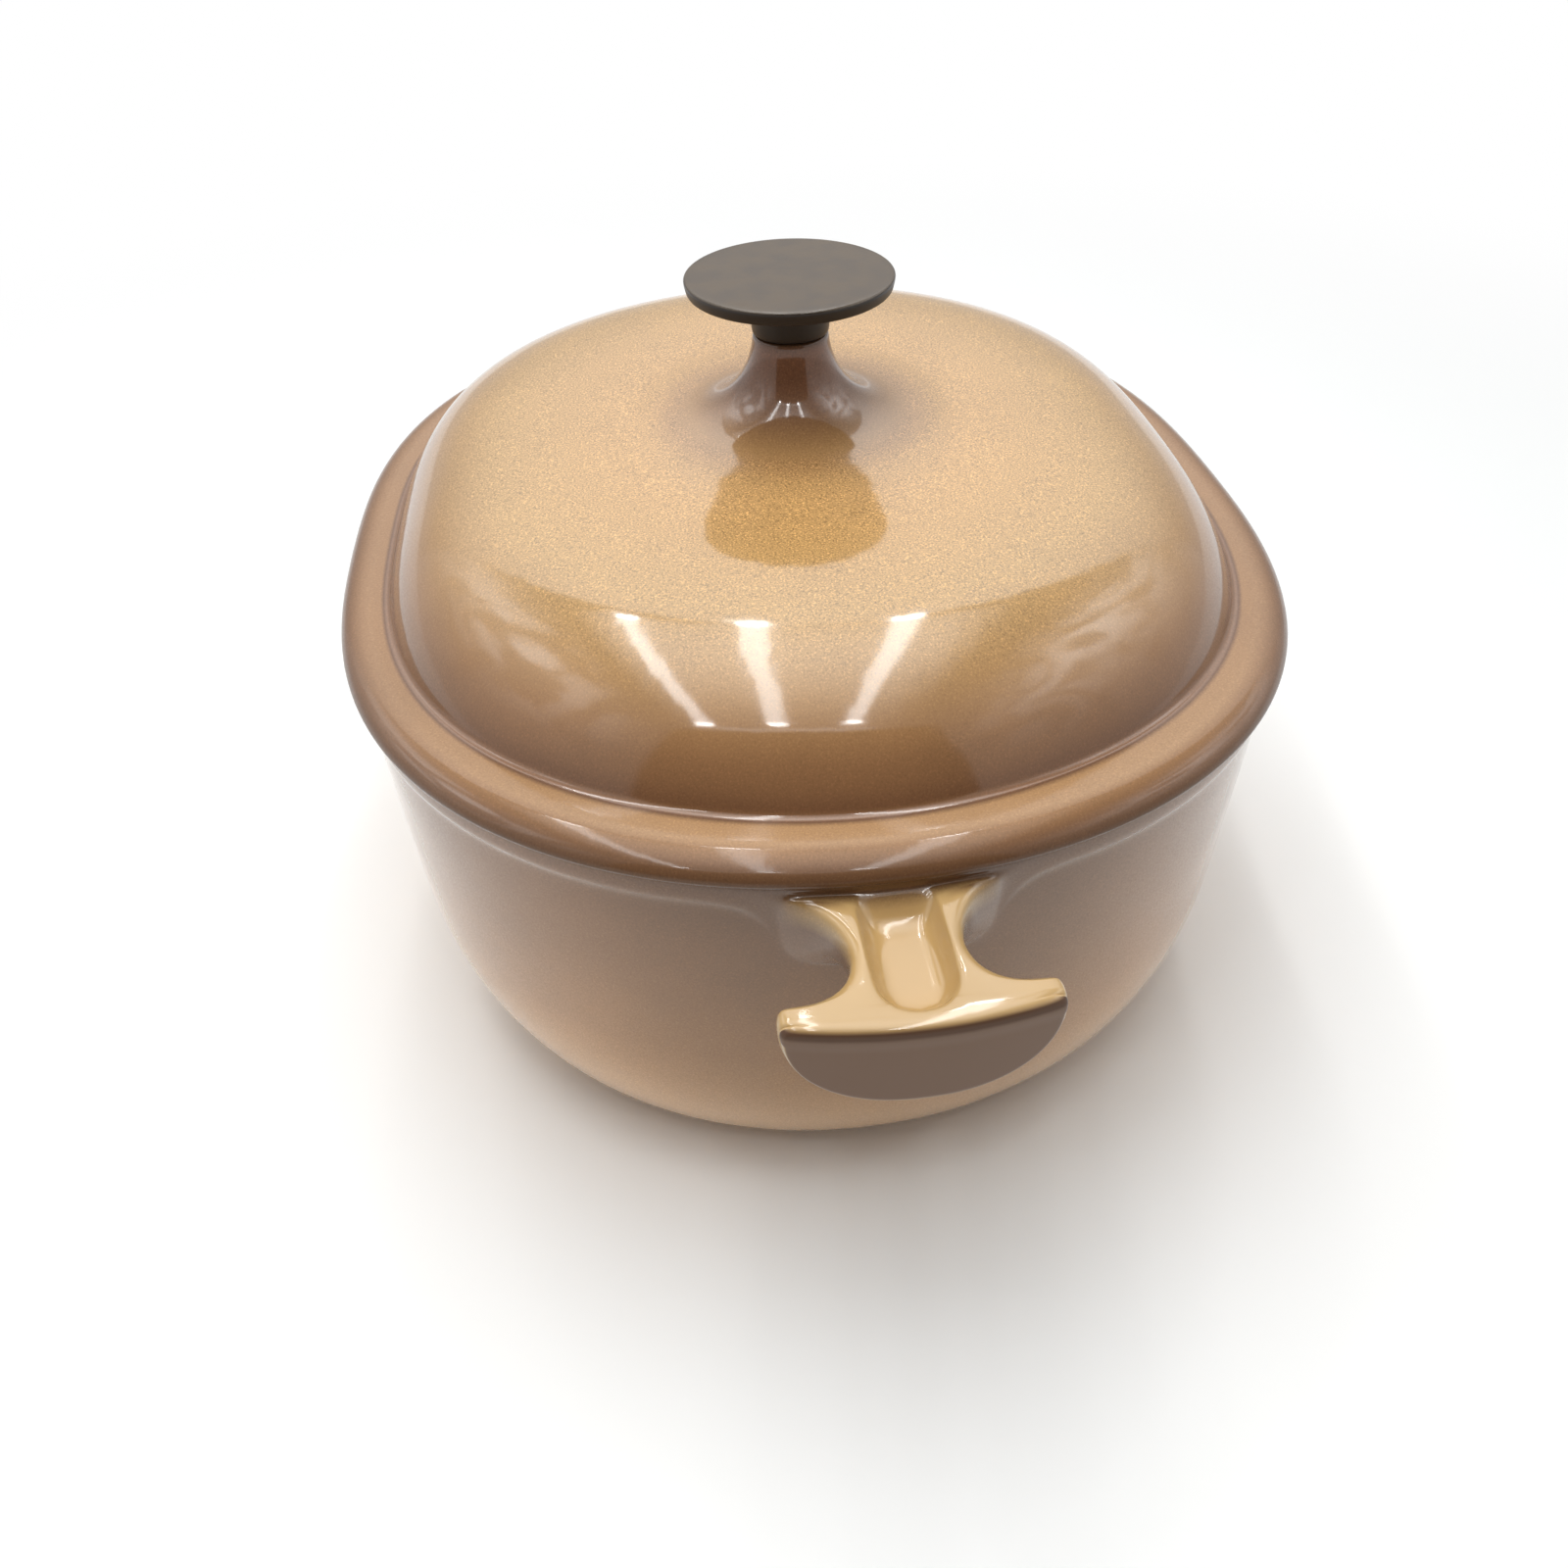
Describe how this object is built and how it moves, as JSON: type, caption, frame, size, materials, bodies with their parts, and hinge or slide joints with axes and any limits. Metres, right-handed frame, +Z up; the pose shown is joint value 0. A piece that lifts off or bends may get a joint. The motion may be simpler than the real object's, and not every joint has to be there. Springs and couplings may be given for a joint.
{
  "type": "oval cocotte",
  "caption": "Oval enamelled iron cocotte with T-shaped end handles and a lift-off domed lid with a round black knob.",
  "frame": {"origin": "middle of the pot's base, on the surface it stands on", "axes": "+X along the long axis through the handles, +Y across, +Z up"},
  "size_m": [0.339, 0.23, 0.1763],
  "materials": {
    "enamel_pot": "gloss",
    "enamel_lid": "gloss",
    "knob_resin": "satin",
    "insert_brass": "satin",
    "screw_steel": "satin"
  },
  "bodies": {
    "pot_body": {"pot": "enamel_pot"},
    "lid_body": {"lid": "enamel_lid", "knob": "knob_resin", "knob_insert": "insert_brass", "screw_washer": "screw_steel", "knob_screw": "screw_steel"}
  },
  "joints": [
    {"name": "lid_lift", "type": "slide", "parent": "pot_body", "child": "lid_body", "axis": [0, 0, 1], "range_m": [0, 0.15]}
  ]
}
